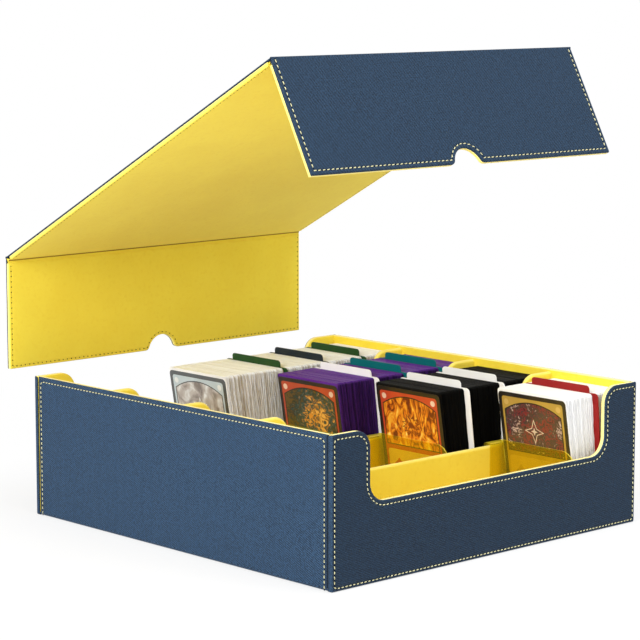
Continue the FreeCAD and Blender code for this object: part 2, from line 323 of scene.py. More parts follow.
def magnet_material():
    s = Shader("nickel_disc")
    scuffs = s.noise(600, 3)
    return s.surface(Base_Color=colour(0.62, 0.6, 0.57), Metallic=1.0,
                     Roughness=s.span(scuffs, 0.3, 0.7, 0.22, 0.4))


def sleeve_material(name, light, deep, roughness, specular):
    """Card sleeves seen on edge. Each card has its own tint toward the deep colour, partly its own tone and partly
    painted shade of the gaps between cards, and its edge is uneven along its length, with streaks of that painted
    shade.
    """
    s = Shader(name)
    streaks = s.noise(1.0, 3, s.stretched(1600, 25, 45), roughness=0.6)
    # Painted shade: each card's tint and the streaks mix in the deep colour of the gaps.
    base = s.mix(s.span(s.tint(), 0, 1, 0, 0.85), colour(*light), colour(*deep))
    base = s.mix(s.span(streaks, 0.5, 0.78, 0, 0.4), base, colour(*deep))
    return s.surface(Base_Color=base, Roughness=s.span(streaks, 0.3, 0.7, roughness, roughness + 0.2),
                     Specular_IOR_Level=specular, Normal=s.bump(streaks, 0.1 * MM))


def divider_material(name, base_colour):
    """Thin plastic sheet, matt with a fine moulded grain."""
    s = Shader(name)
    grain = s.noise(1500, 2)
    clouds = s.noise(40, 2)
    paler = colour(*(min(1.0, 1.25 * c + 0.01) for c in base_colour[:3]))
    base = s.mix(s.span(clouds, 0.3, 0.8, 0, 0.45), base_colour, paler)
    return s.surface(Base_Color=base, Roughness=s.span(grain, 0.3, 0.7, 0.38, 0.5),
                     Specular_IOR_Level=0.18, Normal=s.bump(grain, 0.03 * MM))


def stopper_material():
    """Clear amber sheet: light passes tinted, with a gloss on top, and a painted highlight on its cut edges, where
    faces that point up take mostly the opaque amber shader.
    """
    s = Shader("amber_sheet")
    haze = s.noise(70, 2)
    tint = s.mix(haze, colour(0.955, 0.915, 0.38), colour(0.975, 0.94, 0.47))
    clear = s.node("BsdfTransparent", {"Color": tint}).outputs[0]
    gloss = s.node("BsdfPrincipled", {"Base Color": colour(0.92, 0.74, 0.06), "IOR": 1.49,
                                      "Roughness": s.span(haze, 0.3, 0.7, 0.12, 0.2)}).outputs[0]
    facing = s.node("LayerWeight", {"Blend": 0.35}).outputs["Facing"]
    rise = s.node("SeparateXYZ", {0: s.node("TexCoord").outputs["Normal"]}).outputs[2]
    # Painted highlight: faces that point up, the cut edges on top, take mostly the opaque amber shader.
    share = s.math("MAXIMUM", s.span(facing, 0.2, 1, 0.07, 0.7), s.span(rise, 0.3, 0.8, 0, 0.85))
    return s.show(s.node("MixShader", {0: share, 1: clear, 2: gloss}).outputs[0])


def print_material(name, base_colour):
    """Plain printed card stock under a clear sleeve."""
    s = Shader(name)
    dots = s.noise(2400, 1)
    clouds = s.noise(90, 3)
    darker = shaded(base_colour, 0.7)
    base = s.mix(s.span(clouds, 0.3, 0.7, 0, 0.5), base_colour, darker)
    base = s.mix(s.span(dots, 0.4, 0.6, 0, 0.12), base, darker)
    return s.surface(Base_Color=base, Roughness=0.34, Coat_Weight=0.5, Coat_Roughness=0.12)


def picture_material(name, pattern, stops):
    """Printed picture: an abstract field of colour, under a clear sleeve."""
    s = Shader(name)
    place = s.panel()
    if pattern == "mist":
        value = s.noise(70, 6, place, distortion=1.9)
    elif pattern == "glow":
        middle = s.node("VectorMath", {0: place, 1: (0.008, 0.062, 0)}, operation="DISTANCE")
        swirl = s.noise(130, 7, place, roughness=0.62, distortion=2.6)
        value = s.math("ADD", s.math("MULTIPLY", middle.outputs["Value"], 26.0),
                       s.math("MULTIPLY", s.math("SUBTRACT", swirl, 0.5), 2.4))
    elif pattern == "blaze":
        licks = s.noise(1.0, 7, s.stretched(120, 60, 1, place), roughness=0.6, distortion=2.2)
        climb = s.node("SeparateXYZ", {0: place}).outputs[1]
        value = s.math("ADD", s.span(licks, 0.28, 0.72), s.math("MULTIPLY", climb, -3.0))
    else:
        veins = s.noise(150, 7, place, roughness=0.66, distortion=3.0)
        blooms = s.noise(48, 3, place, distortion=1.0)
        value = s.math("ADD", s.span(veins, 0.3, 0.7, 0, 0.75), s.span(blooms, 0.35, 0.65, -0.1, 0.35))
    return s.surface(Base_Color=s.ramp(value, stops), Roughness=0.34, Coat_Weight=0.5, Coat_Roughness=0.12)


NAVY = (0.026, 0.058, 0.110)
# Near-black navy, painted as the shade in the joints and on the edges that round into them.
NAVY_SHADE = colour(0.003, 0.007, 0.014)
BOX_TWILL = (3.2 * MM, 4.85 * MM, 1.5 * MM)
LID_TWILL = (2.5 * MM, 1.97 * MM, 5.0 * MM)
YELLOW = colour(0.97, 0.775, 0.06)
YELLOW_DEEP = colour(0.87, 0.635, 0.03)
YELLOW_STROKED = colour(0.97, 0.84, 0.18)
# Pale yellow, painted as the highlight on the lining's rims and edges.
YELLOW_HIGHLIGHT = colour(0.98, 0.92, 0.52)
# Dark brown, painted as the shade in the bottom of the lid's folds.
CREASE_SHADE = colour(0.34, 0.18, 0.01)
CREASE_SHADE_DEEP = colour(0.22, 0.11, 0.005)
MATERIALS = {
    # The one leather in three tones: the front and back panels and the lid are painted darker than the walls,
    # painted shade for faces that get less light.
    "cover": cover_material("navy_leather_walls", BOX_TWILL, tone=0.97, weave=0.75),
    "panel_cover": cover_material("navy_leather_panels_shaded", BOX_TWILL, tone=0.51, weave=0.4),
    "lid_cover": cover_material("navy_leather_lid_shaded", LID_TWILL, tone=0.66, weave=0.42),
    "lining": lining_material("yellow_microfibre", YELLOW, YELLOW_DEEP, YELLOW_STROKED),
    "crease_shade": lining_material("microfibre_crease_shade", CREASE_SHADE, CREASE_SHADE_DEEP, CREASE_SHADE),
    "thread": thread_material("cream_thread", colour(0.82, 0.79, 0.46), colour(0.50, 0.46, 0.22)),
    "inner_thread": thread_material("yellow_thread", colour(0.8, 0.56, 0.05), colour(0.55, 0.36, 0.02)),
    "dark_hole": hole_material("needle_hole_shade_navy", colour(0.004, 0.008, 0.016)),
    "gold_hole": hole_material("needle_hole_shade_gold", colour(0.05, 0.028, 0.004)),
    "board": board_material(),
    "magnet": magnet_material(),
    "stopper_plastic": stopper_material(),
}

# Sleeves: colour of a card's edge, the deep colour painted as the shade of the gaps between cards, roughness and
# specular level
SLEEVE_LOOKS = {
    "cream": ((0.93, 0.95, 0.99), (0.42, 0.33, 0.21), 0.5, 0.2),
    "purple": ((0.12, 0.03, 0.31), (0.008, 0.005, 0.014), 0.36, 0.1),
    "black": ((0.009, 0.009, 0.0085), (0.001, 0.001, 0.001), 0.5, 0.04),
    "white": ((0.98, 0.98, 0.98), (0.82, 0.83, 0.85), 0.4, 0.25),
}
for name, look in SLEEVE_LOOKS.items():
    MATERIALS["sleeve_" + name] = sleeve_material(name + "_sleeves", *look)

DIVIDER_COLOURS = {
    "green": (0.012, 0.055, 0.012),
    "dark": (0.01, 0.017, 0.026),
    "teal": (0.0, 0.13, 0.145),
    "white": (0.98, 0.98, 0.98),
    "red": (0.27, 0.011, 0.01),
}
for name, tone in DIVIDER_COLOURS.items():
    MATERIALS["divider_" + name] = divider_material(name + "_divider", colour(*tone))


# ---------- mesh building

class Mesh:
    """Points, faces and panel coordinates of one piece, gathered before the object is made.

    Each new point takes the mesh's tint, which its material reads.
    """

    def __init__(self):
        self.points = []
        self.places = []
        self.tints = []
        self.faces = []
        self.slots = []
        self.tint = 0.0

    def row(self, points, places=None):
        first = len(self.points)
        self.points += [tuple(p) for p in points]
        self.places += [tuple(p[:2]) for p in places] if places else [(0.0, 0.0)] * len(points)
        self.tints += [self.tint] * len(points)
        return list(range(first, first + len(points)))

    def face(self, corners, slot=0):
        self.faces.append(tuple(corners))
        self.slots.append(slot)

    def bridge(self, inner, outer, closed=False, slot=0):
        """Quads between two rows of the same length."""
        last = len(inner) if closed else len(inner) - 1
        for i in range(last):
            j = (i + 1) % len(inner)
            self.face((outer[i], outer[j], inner[j], inner[i]), slot)

    def skin(self, rows, closed=False, slot=0):
        for inner, outer in zip(rows, rows[1:]):
            self.bridge(inner, outer, closed, slot)

    def piece(self, name, body, finishes, replaces=(), sharp=35):
        data = bpy.data.meshes.new(name)
        data.from_pydata(self.points, [], self.faces)
        layer = data.uv_layers.new(name="panel")
        corners = [0] * len(data.loops)
        data.loops.foreach_get("vertex_index", corners)
        flat = [value for corner in corners for value in self.places[corner]]
        layer.uv.foreach_set("vector", flat)
        data.attributes.new("tint", "FLOAT", "POINT").data.foreach_set("value", self.tints)
        for finish in finishes:
            data.materials.append(MATERIALS[finish] if isinstance(finish, str) else finish)
        data.polygons.foreach_set("material_index", self.slots)
        data.shade_smooth()
        data.set_sharp_from_angle(angle=math.radians(sharp))
        data.update()
        made = bpy.data.objects.new(name, data)
        bpy.context.scene.collection.objects.link(made)
        if body:
            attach(made, body)
        if replaces:
            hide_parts(*replaces)
        return made

    def dress(self, node, body, slot, *finishes):
        """The piece that takes a CAD node's place, in the finish of its slot if no others are given."""
        return self.piece(node + "_skin", body, finishes or (slot,), [node])


class Plane:
    """A panel's own axes: u across, v up the panel and h out of its face."""

    def __init__(self, origin, up, out):
        self.origin = Vector(origin)
        self.up = Vector(up).normalized()
        self.out = Vector(out).normalized()
        self.across = self.up.cross(self.out)

    def at(self, u, v, h=0.0):
        return self.origin + u * self.across + v * self.up + h * self.out

    def inside(self, thickness):
        """The panel's other face, looked at from inside."""
        return Plane(self.at(0, 0, -thickness), self.up, -self.out)


def arc(centre, radius, start, end, steps=6):
    """Points along an arc, angles in degrees."""
    points = []
    for i in range(steps + 1):
        angle = math.radians(start + (end - start) * i / steps)
        points.append((centre[0] + radius * math.cos(angle), centre[1] + radius * math.sin(angle)))
    return points


def corner(u, v, radius, quarter, steps=6):
    """Rounding of a sharp corner at u, v: quarter 0 is the top right one, and so on anticlockwise."""
    centre_u = u - radius if quarter in (0, 3) else u + radius
    centre_v = v - radius if quarter in (0, 1) else v + radius
    return arc((centre_u, centre_v), radius, 90 * quarter, 90 * quarter + 90, steps)


def corner_radius(shape, inset):
    """Radius of an outline's corners at an inset."""
    radius, growth = shape
    return max(SHARPEST_CORNER, radius + growth * inset)


def rounding(radius, turns):
    """Inset and height of the rows round an edge, from its face to its side."""
    return [(radius * (1 - math.sin(turn)), -radius * (1 - math.cos(turn))) for turn in turns]


def quarter_round(edge, radius):
    """Section of a rounding, as (v, h) points from the face to the sheet's edge at v."""
    return [(edge - inset, height) for inset, height in rounding(radius, QUARTER_TURN)]


def weighted(points, first, last):
    """Points with a third number that runs evenly from first to last: how far each belongs to the rim."""
    steps = max(1, len(points) - 1)
    return [(u, v, first + (last - first) * i / steps) for i, (u, v) in enumerate(points)]


def scooped_outline(side, foot, top, edge, rim):
    """Outline of a scooped panel, set in from its plain edges and from its rim.

    As in the outlines below, a point is u, v and how far it belongs to the rim.
    """
    a = side - edge
    f = foot + edge
    t = top - rim
    r = corner_radius(BOX_CORNER, edge)
    shoulder_u = SCOOP_HALF + SCOOP_SHOULDER_RADIUS
    shoulder_v = top - SCOOP_SHOULDER_RADIUS
    inner_u = SCOOP_HALF - SCOOP_INNER_RADIUS
    inner_v = SCOOP_LOW + SCOOP_INNER_RADIUS
    shoulder = SCOOP_SHOULDER_RADIUS - rim
    inner = SCOOP_INNER_RADIUS + rim
    points = weighted(corner(-a, f, r, 2) + corner(a, f, r, 3), 0, 0)
    points += weighted(corner(a, t, r, 0), 0, 1)
    points += weighted(arc((shoulder_u, shoulder_v), shoulder, 90, 180, 12), 1, 1)
    points += weighted(arc((inner_u, inner_v), inner, 0, -90, 12), 1, 1)
    points += weighted(arc((-inner_u, inner_v), inner, -90, -180, 12), 1, 1)
    points += weighted(arc((-shoulder_u, shoulder_v), shoulder, 0, 90, 12), 1, 1)
    return points + weighted(corner(-a, t, r, 1), 1, 0)


def wall_outline(side, foot, top, edge, rim):
    """Open outline of a plain side wall: up one edge, along the rim and down the other edge."""
    a = side - edge
    t = top - rim
    r = corner_radius(BOX_CORNER, edge)
    over = weighted(corner(a, t, r, 0), 0, 1) + weighted(corner(-a, t, r, 1), 1, 0)
    return [(a, foot, 0)] + over + [(-a, foot, 0)]


def flap_outline(side, start, end, edge, fold, closed=True):
    """Outline of a lid flap, from its fold to its free edge with the thumb notch."""
    a = side - edge
    t = end - edge
    r = corner_radius(LID_CORNER, edge)
    shoulder = max(NOTCH_SHOULDER - edge, SHARPEST_SHOULDER)
    notch = NOTCH_RADIUS + edge
    notch_v = end - NOTCH_HEIGHT + NOTCH_RADIUS
    shoulder_v = t - shoulder
    rise = notch_v - shoulder_v
    shoulder_u = math.sqrt((notch + shoulder) ** 2 - rise ** 2)
    turn = math.degrees(math.atan2(shoulder_u, rise))
    free = corner(a, t, r, 0)
    free += arc((shoulder_u, shoulder_v), shoulder, 90, 90 + turn)
    free += arc((0, notch_v), notch, 270 + turn, 270 - turn, 18)
    free += arc((-shoulder_u, shoulder_v), shoulder, 90 - turn, 90)
    free += corner(-a, t, r, 1)
    if not closed:
        return weighted([(a, start)] + free + [(-a, start)], 0, 0)
    low = start + fold
    first = weighted(corner(a, low, r, 3), 1, 0)
    return first + weighted(free, 0, 0) + weighted(corner(-a, low, r, 2), 0, 1)


def plain_outline(side, start, end, edge, rim):
    """Closed rectangle with slightly rounded corners: plain edges at its sides, folds at its ends."""
    r = corner_radius(LID_CORNER, edge)
    a = side - edge
    low = start + rim
    high = end - rim
    points = weighted(corner(-a, low, r, 2), 0, 1) + weighted(corner(a, low, r, 3), 1, 0)
    return points + weighted(corner(a, high, r, 0), 0, 1) + weighted(corner(-a, high, r, 1), 1, 0)


def seam_profile(inset, depth):
    """Inset and height of the rows across a stitched seam, from the panel's middle outwards."""
    dip = [(2.2, 0), (1.0, 0), (0.6, -0.8), (0, -1), (-0.6, -0.8), (-1.0, 0)]
    return [(inset + s * SEAM_HALF_WIDTH, depth * h) for s, h in dip]


# How a skin ends at an edge: the seam's inset and depth, the radius of the rounding, how far
# back the skin reaches, the tints that the rounding and the far end come to (painted shade on a
# cover, painted highlight on a lining), how many degrees round the first of these tints is full,
# and what share of it the rounding starts with
Edge = namedtuple("Edge", "inset groove radius reach turn_tint end_tint full start", defaults=[90, 0])


def edge_profile(edge):
    """Rows across an edge: inset, height and tint, from the panel's middle outwards."""
    rows = [(inset, height, 0.0) for inset, height in seam_profile(edge.inset, edge.groove)]
    rows[-1] = (*rows[-1][:2], edge.turn_tint * edge.start)
    for i, (inset, height) in enumerate(rounding(edge.radius, FINE_TURN)):
        share = edge.start + (1 - edge.start) * min(1.0, ROUNDING_STEP * i / edge.full) ** 2
        rows.append((inset, height, edge.turn_tint * share))
    near = edge.radius + NEAR_ROW * (edge.reach - edge.radius)
    rows.append((0.0, -near, max(edge.turn_tint, NEAR_TINT * edge.end_tint)))
    return rows + [(0.0, -edge.reach, edge.end_tint)]


def contour_row(mesh, plane, points, edge, rim, places):
    """One row along an outline's points. edge and rim are the height and the tint there."""
    rise = rim[0] - edge[0]
    row = mesh.row([plane.at(u, v, edge[0] + w * rise) for u, v, w in points], places)
    mesh.tints[-len(points):] = [edge[1] + w * (rim[1] - edge[1]) for u, v, w in points]
    return row


def contour_skin(mesh, plane, outline, edge, rim, closed=True, turned_slot=0):
    """Face of a panel with a pressed-in seam, its plain edges and its rim rounded over and turned back.

    The rows that are turned back take the finish turned_slot.
    """
    rows = []
    for (a, *at_edge), (b, *at_rim) in zip(edge_profile(edge), edge_profile(rim)):
        places = outline(a + at_edge[0], b + at_rim[0])
        rows.append(contour_row(mesh, plane, outline(a, b), at_edge, at_rim, places))
    mesh.skin(rows[:-TURNED_ROWS], closed)
    mesh.skin(rows[-TURNED_ROWS - 1:], closed, turned_slot)
    mesh.face(rows[0])


def section_strip(mesh, plane, section, low, high):
    """Sheet drawn along u from low to high, with a cross-section of (v, h) points."""
    rows = []
    for u in (low, high):
        places = []
        run = 0.0
        for i, (v, h) in enumerate(section):
            if i:
                run += math.dist((v, h), section[i - 1])
            places.append((u, run))
        rows.append(mesh.row([plane.at(u, v, h) for v, h in section], places))
    mesh.skin(rows)
    return rows


# ---------- stitching

def walk(points, closed):
    """Turns a polyline into a function of distance that gives a place and direction, and its length."""
    run = [Vector(p) for p in points]
    if closed:
        run.append(run[0])
    legs = [(b - a).length for a, b in zip(run, run[1:])]
    total = sum(legs)

    def at(distance):
        distance = min(max(distance, 0.0), total - 1e-9)
        for leg, a, b in zip(legs, run, run[1:]):
            if distance <= leg and leg > 0:
                return a.lerp(b, distance / leg), (b - a).normalized()
            distance -= leg
        return run[-1].copy(), (run[-1] - run[-2]).normalized()

    return at, total


def stitch_line(name, body, points, out, finishes, pitch, closed=False, radius=THREAD_RADIUS,
                hole=HOLE_RADIUS):
    """One line of lock stitches along a path, with a dark disc at each end of every stitch, painted shade of a
    needle hole.

    A thread is widest and highest at its middle, and dives into the holes at its ends.
    """
    at, total = walk(points, closed)
    count = max(1, round(total / pitch))
    pitch = total / count
    thread = Mesh()
    rings = 7
    sides = 7
    for k in range(count):
        middle, along = at((k + 0.5) * pitch)
        side = out.cross(along).normalized()
        lean = along * math.cos(STITCH_SLANT) + side * math.sin(STITCH_SLANT)
        across = out.cross(lean).normalized()
        size = STITCH_SHARE * pitch * random.uniform(0.95, 1.04)
        swell = radius * random.uniform(0.92, 1.08)
        rows = []
        for i in range(rings):
            s = 2 * i / (rings - 1) - 1
            wide = swell * (1 - THREAD_TAPER * s ** 4)
            high = THREAD_HEIGHT * wide
            lift = swell * (THREAD_LIFT - THREAD_DIVE * s ** 4)
            centre = middle + lean * (0.5 * size * s) + out * lift
            ring = []
            places = []
            for j in range(sides + 1):
                angle = 2 * math.pi * j / sides - math.pi / 2
                ring.append(centre + across * (wide * math.cos(angle)) + out * (high * math.sin(angle)))
                places.append((i / (rings - 1), j / sides))
            rows.append(thread.row(ring, places))
        thread.skin(rows, slot=0)
        thread.face(rows[0][:-1], 0)
        thread.face(rows[-1][-2::-1], 0)
        for end in (0.0, 1.0) if k == 0 and not closed else (1.0,):
            spot, heading = at((k + end) * pitch)
            beside = out.cross(heading).normalized()
            # A flat dark disc over the skin: painted shade of the needle hole.
            disc = []
            for j in range(8):
                angle = 2 * math.pi * j / 8
                reach = hole * random.uniform(0.85, 1.1)
                disc.append(spot + out * SKIN_GAP + heading * (HOLE_STRETCH * reach * math.cos(angle))
                            + beside * (reach * math.sin(angle)))
            thread.face(thread.row(disc)[::-1], 1)
    return thread.piece(name, body, finishes)


def outer_seam(name, body, plane, points, pitch, closed=False):
    """Cream stitches on a cover, along points that start with u and v."""
    path = [plane.at(point[0], point[1], -SEAM_DEPTH) for point in points]
    stitch_line(name, body, path, plane.out, ["thread", "dark_hole"], pitch, closed)


def inner_seam(name, body, plane, points, pitch):
    """Fine yellow bobbin thread on a lining, along (u, v) points, with dark discs painted as the shade of the
    needle's holes.
    """
    path = [plane.at(u, v, -INNER_SEAM_DEPTH) for u, v in points]
    stitch_line(name, body, path, plane.out, ["inner_thread", "gold_hole"], pitch,
                radius=BOBBIN_RADIUS, hole=INNER_HOLE_RADIUS)


# ---------- box

def dress_scooped_panel(name, outward):
    """Cover, lining and stitching of the front or the back panel."""
    outer = Plane((0, outward * HALF_WIDTH, 0), (0, 0, 1), (0, outward, 0))
    inner = outer.inside(WALL)
    cover = Mesh()
    outline = partial(scooped_outline, HALF_LENGTH, 0, RIM)
    # The panel's far end, deep in its joint with the wall, takes painted shade.
    contour_skin(cover, outer, outline, Edge(PANEL_EDGE_SEAM, SEAM_DEPTH, PANEL_EDGE_RADIUS, WALL, 0, 1),
                 Edge(PANEL_RIM_SEAM, SEAM_DEPTH, RIM_RADIUS, COVER, 0, 0), turned_slot=1)
    cover.dress(name + "_cover", "box", "cover", "panel_cover", "cover")
    lining = Mesh()
    inner_outline = partial(scooped_outline, HALF_LENGTH - COVER, COVER, RIM)
    # The lining's rim takes painted highlight.
    contour_skin(lining, inner, inner_outline,
                 Edge(PANEL_EDGE_SEAM, 0, LINING_EDGE_RADIUS, WALL - COVER, 0, 0),
                 Edge(PANEL_RIM_SEAM, 0, LINING_RADIUS, WALL - COVER, RIM_HIGHLIGHT, RIM_HIGHLIGHT))
    lining.dress(name + "_lining", "box", "lining")
    path = outline(PANEL_EDGE_SEAM, PANEL_RIM_SEAM)
    outer_seam(name + "_stitches", "box", outer, path, BOX_STITCH, closed=True)


def dress_wrap():
    """The sheet over the left wall, the floor and the right wall, and the two side linings."""
    cover = Mesh()
    outline = partial(wall_outline, INNER_Y, WRAP_RADIUS, RIM)
    for label, outward in (("left", -1), ("right", 1)):
        outer = Plane((outward * HALF_LENGTH, 0, 0), (0, 0, 1), (outward, 0, 0))
        contour_skin(cover, outer, outline,
                     # The wall's rounded edges take painted shade, starting at the seam.
                     Edge(WALL_SEAM, SEAM_DEPTH, WALL_EDGE_RADIUS, WALL, 1, 1, full=45, start=0.4),
                     Edge(WALL_SEAM, SEAM_DEPTH, RIM_RADIUS, COVER, 0, 0), closed=False)
        path = outline(WALL_SEAM, WALL_SEAM)
        path[0] = (path[0][0], SEAM_FOOT)
        path[-1] = (path[-1][0], SEAM_FOOT)
        outer_seam(label + "_stitches", "box", outer, path, BOX_STITCH)
        inner = outer.inside(WALL)
        lining = Mesh()
        section = [(FLOOR_TOP, 0.0)] + quarter_round(RIM, LINING_RADIUS) + [(RIM, COVER - WALL)]
        for station in section_strip(lining, inner, section[::-1], -INNER_Y, INNER_Y):
            # The rows over the rim take painted highlight.
            for k in station[:-2]:
                lining.tints[k] = RIM_HIGHLIGHT
        lining.dress(label + "_lining", "box", "lining")
    under = Plane((0, 0, 0), (1, 0, 0), (0, 0, -1))
    right = quarter_round(HALF_LENGTH, WRAP_RADIUS)
    section = [(-v, h) for v, h in right[::-1]] + right
    section_strip(cover, under, section[::-1], -INNER_Y, INNER_Y)
    cover.dress("wrap_cover", "box", "cover")


def dress_partition(name):
    """A lined board between two rows, from one face round its edges to the other, with a soft rim."""
    low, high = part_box(name)
    half = (high.y - low.y) / 2
    middle = Plane((0, (high.y + low.y) / 2, 0), (0, 0, 1), (0, -1, 0))
    outline = partial(scooped_outline, high.x, low.z, high.z)
    mesh = Mesh()
    rows = []
    soft = half - 0.15 * MM
    crisp = 0.25 * MM
    margin = 4 * MM
    steps = 12
    profile = [(margin, half, margin, half)]
    for i in range(steps + 1):
        angle = math.pi * i / steps
        reach = 1 - math.sin(angle)
        lift = math.cos(angle)
        side = (i < steps / 2) - (i > steps / 2)
        profile.append((crisp * reach, (half - crisp) * side + crisp * lift,
                        soft * reach, (half - soft) * side + soft * lift))
    profile.append((margin, -half, margin, -half))
    for edge, edge_height, rim, rim_height in profile:
        points = outline(edge, rim)
        # The partition's rim takes painted highlight, strongest at its crown.
        pale = 0.5 * RIM_HIGHLIGHT * max(0.0, 1 - rim / soft)
        rows.append(contour_row(mesh, middle, points, (edge_height, 0), (rim_height, pale), points))
    mesh.skin(rows, closed=True)
    mesh.face(rows[0])
    mesh.face(rows[-1][::-1])
    mesh.dress(name, "box", "lining")


# ---------- lid

# Folds: how far the lining overlaps the panels' linings and lies over them, and how deep it dips
# from the pivot
FOLD_OVERLAP = 0.9 * MM
FOLD_OVERLAY = 0.12 * MM
FOLD_DIP = 2.1 * MM
BACK_FOLD = Vector(JOINTS["back_fold_hinge"]["pos_m"])
FRONT_FOLD = Vector(JOINTS["front_fold_hinge"]["pos_m"])
TOP_SPAN = (FRONT_FOLD - BACK_FOLD).length
FLAP_END = BACK_FOLD.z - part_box("back_flap_cover")[0].z
TOP_RUN = (FRONT_FOLD - BACK_FOLD).normalized()
TOP_OUT = Vector((0, TOP_RUN.z, -TOP_RUN.y))
LID_PLANES = {
    "back_flap": Plane(BACK_FOLD, (0, 0, -1), (0, 1, 0)),
    "lid_top": Plane(BACK_FOLD, TOP_RUN, TOP_OUT),
    "front_flap": Plane(FRONT_FOLD, -TOP_OUT, TOP_RUN),
}


def seam_at_sides(mesh, plane, start, end):
    """Cover of the lid's top panel: seams at its two sides only, and edges with painted shade that deepens as they
    turn.
    """
    profile = seam_profile(LID_SEAM, SEAM_DEPTH) + rounding(LID_RADIUS, FINE_TURN) + [(0.0, -LID_TURN)]
    half = [(LID_HALF - inset, height) for inset, height in profile]
    stations = half[::-1] + [(-u, h) for u, h in half]
    rows = []
    for v in (start, end):
        rows.append(mesh.row([plane.at(u, v, h) for u, h in stations], [(u, v) for u, h in stations]))
        # The turned edges take painted shade, deeper as they turn.
        for k, (u, h) in zip(rows[-1], stations):
            if abs(u) > LID_HALF - LID_RADIUS:
                mesh.tints[k] = max(0.0, -TURNED_SHADE * h / LID_TURN)
    mesh.skin(rows)


def magnet_marks(mesh, plane, v):
    """Faint round swellings of the lining over a flap's two magnets."""
    radius = 6.5 * MM
    rise = 0.12 * MM
    sides = 24
    for side in (-1, 1):
        rows = []
        for reach in (1.0, 0.85, 0.6, 0.3):
            height = SKIN_GAP + rise * math.cos(math.pi / 2 * reach)
            ring = arc((side * MAGNET_OFFSET, v), radius * reach, 0, 360 - 360 / sides, sides - 1)
            rows.append(mesh.row([plane.at(u, w, height) for u, w in ring], ring))
        mesh.skin(rows[::-1], closed=True)
        mesh.face(rows[-1])


def dress_lid_panel(name):
    """Cover and lining of one lid panel, with its stitching outside and inside."""
    pivot = LID_PLANES[name]
    outer = Plane(pivot.at(0, 0, FOLD_TO_OUTSIDE), pivot.up, pivot.out)
    inner = outer.inside(WALL)
    cover = Mesh()
    lining = Mesh()
    turn = Edge(LID_SEAM, SEAM_DEPTH, LID_RADIUS, LID_TURN, 0, 0)
    # Painted highlight on the lining's turned edges, and more at its far ends.
    pale_turn = 0.15 if name == "lid_top" else 0.35
    reach = WALL - LID_TURN
    inner_turn = Edge(INNER_LID_SEAM, INNER_SEAM_DEPTH, LINING_RADIUS, reach, pale_turn, RIM_HIGHLIGHT)
    at_fold = Edge(INNER_LID_SEAM, 0, LINING_RADIUS, reach, 0, 0)
    lining_start = SLAB_START + SEAM_END
    if name == "lid_top":
        seam_at_sides(cover, outer, COVER_START, TOP_SPAN - COVER_START)
        tray = partial(plain_outline, LID_HALF, SLAB_START, TOP_SPAN - SLAB_START)
        for label, side in (("left", -1), ("right", 1)):
            u = side * (LID_HALF - LID_SEAM)
            ends = (LID_SEAM_START, TOP_SPAN - LID_SEAM_START)
            outer_seam("lid_top_%s_stitches" % label, name, outer, [(u, v) for v in ends], LID_STITCH)
            u = side * (LID_HALF - INNER_LID_SEAM)
            ends = (lining_start, TOP_SPAN - lining_start)
            inner_seam("lid_top_%s_holes" % label, name, inner, [(u, v) for v in ends], LID_STITCH)
    else:
        outline = partial(flap_outline, LID_HALF, COVER_START, FLAP_END, closed=False)
        contour_skin(cover, outer, outline, turn, turn, closed=False)
        tray = partial(flap_outline, LID_HALF, SLAB_START, FLAP_END)
        outer_seam(name + "_stitches", name, outer, outline(LID_SEAM, 0), LID_STITCH)
        inside = [(-u, max(v, lining_start)) for u, v, w in outline(INNER_LID_SEAM, 0)]
        inner_seam(name + "_holes", name, inner, inside, LID_STITCH)
        magnet_marks(lining, inner, FLAP_END - MAGNET_FROM_EDGE)
    contour_skin(lining, inner, tray, inner_turn, at_fold)
    cover.dress(name + "_cover", name, "cover", "lid_cover")
    lining.dress(name + "_lining", name, "lining")


